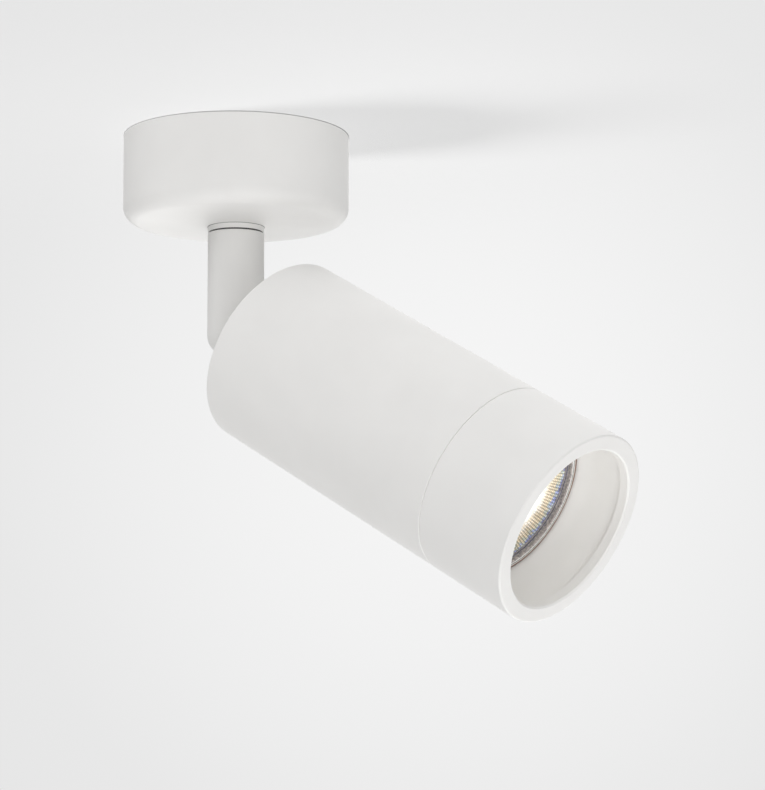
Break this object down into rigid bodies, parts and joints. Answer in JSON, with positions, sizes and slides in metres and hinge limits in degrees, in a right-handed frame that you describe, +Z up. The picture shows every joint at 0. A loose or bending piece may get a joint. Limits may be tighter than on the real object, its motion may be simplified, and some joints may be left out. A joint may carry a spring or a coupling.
{
  "type": "surface mounted ceiling spotlight",
  "caption": "Surface mounted ceiling spotlight: round canopy, short swivel stem and a cylindrical head that tilts, with a recessed reflector lamp behind a removable front ring.",
  "frame": {"origin": "centre of the ceiling face, in the plane where the bracket and the canopy's rim meet the ceiling", "axes": "+Z up into the ceiling; the lamp hangs to -Z. The head's tilt axis is along Y, and at rest the head points to +X and down"},
  "size_m": [0.1742, 0.072, 0.1573],
  "materials": {
    "canopy_paint": "warm white fine powder coat, matte",
    "stem_paint": "warm white fine powder coat, matte",
    "head_paint": "warm white fine powder coat, matte",
    "ring_paint": "warm white fine powder coat, matte",
    "zinc_steel": "zinc plated",
    "screw_steel": "zinc plated",
    "brass": "bare, machined",
    "tinned_copper": "tin plated",
    "natural_nylon": "moulded, matte",
    "black_nylon": "matte",
    "red_fibre": "vulcanised fibre",
    "black_rubber": "matte",
    "brown_insulation": "silicone insulation",
    "blue_insulation": "silicone insulation",
    "earth_insulation": "green insulation with a yellow stripe",
    "woven_sleeve": "woven glass fibre",
    "white_ceramic": "unglazed steatite",
    "reflector_glass": "faceted dichroic coating inside",
    "clear_glass": "clear, flat",
    "quartz_glass": "clear quartz",
    "rim_aluminium": "bare",
    "filament_wire": "tungsten coil"
  },
  "bodies": {
    "canopy_mount": {"ceiling_bracket": "zinc_steel", "cable_grommet": "black_rubber", "canopy": "canopy_paint", "canopy_set_screw": "screw_steel", "earth_screw": "screw_steel", "earth_washer": "zinc_steel", "earth_lug": "tinned_copper", "terminal_block": "natural_nylon", "terminal_inserts": "brass", "terminal_screws": "screw_steel", "terminal_block_screw": "screw_steel", "canopy_lead_live": "brown_insulation", "canopy_lead_neutral": "blue_insulation", "canopy_lead_earth": "earth_insulation", "swivel_collar": "canopy_paint", "swivel_washer": "black_nylon", "stop_pin": "screw_steel", "floor_washer": "red_fibre"},
    "swivel_stem": {"stop_washer": "zinc_steel", "disc_spring": "screw_steel", "locknut": "brass", "swivel_nipple": "brass", "stem": "stem_paint", "lead_sleeve": "woven_sleeve", "stem_leads": "brown_insulation", "hinge_screw": "screw_steel", "hinge_washers": "black_nylon"},
    "spot_head": {"hinge_spacer": "zinc_steel", "hinge_yoke": "zinc_steel", "yoke_screws": "screw_steel", "head_body": "head_paint", "holder_strap": "zinc_steel", "strap_screws": "screw_steel", "lamp_holder": "white_ceramic", "holder_screws": "screw_steel", "holder_contacts": "brass", "head_lead_live": "brown_insulation", "head_lead_neutral": "blue_insulation", "head_lead_earth": "earth_insulation", "head_earth_lug": "tinned_copper"},
    "ring": {"front_ring": "ring_paint", "o_ring": "black_rubber"},
    "lamp": {"lamp_reflector": "reflector_glass", "lamp_front_glass": "clear_glass", "lamp_rim": "rim_aluminium", "lamp_base": "white_ceramic", "lamp_pins": "tinned_copper", "lamp_capsule": "quartz_glass", "lamp_filament": "filament_wire"}
  },
  "joints": [
    {"name": "pan", "type": "hinge", "parent": "canopy_mount", "child": "swivel_stem", "pos_m": [0, 0, -0.031], "axis": [0, 0, 1], "range_deg": [-170, 170]},
    {"name": "tilt", "type": "hinge", "parent": "swivel_stem", "child": "spot_head", "pos_m": [0, 0, -0.061], "axis": [0, 1, 0], "range_deg": [-29.7, 60.3]},
    {"name": "ring_pull", "type": "slide", "parent": "spot_head", "child": "ring", "axis": [0.8686, 0, -0.4955], "range_m": [0, 0.014]},
    {"name": "lamp_turn", "type": "hinge", "parent": "spot_head", "child": "lamp", "pos_m": [0, 0, -0.061], "axis": [0.8686, 0, -0.4955], "range_deg": [0, 25]}
  ]
}
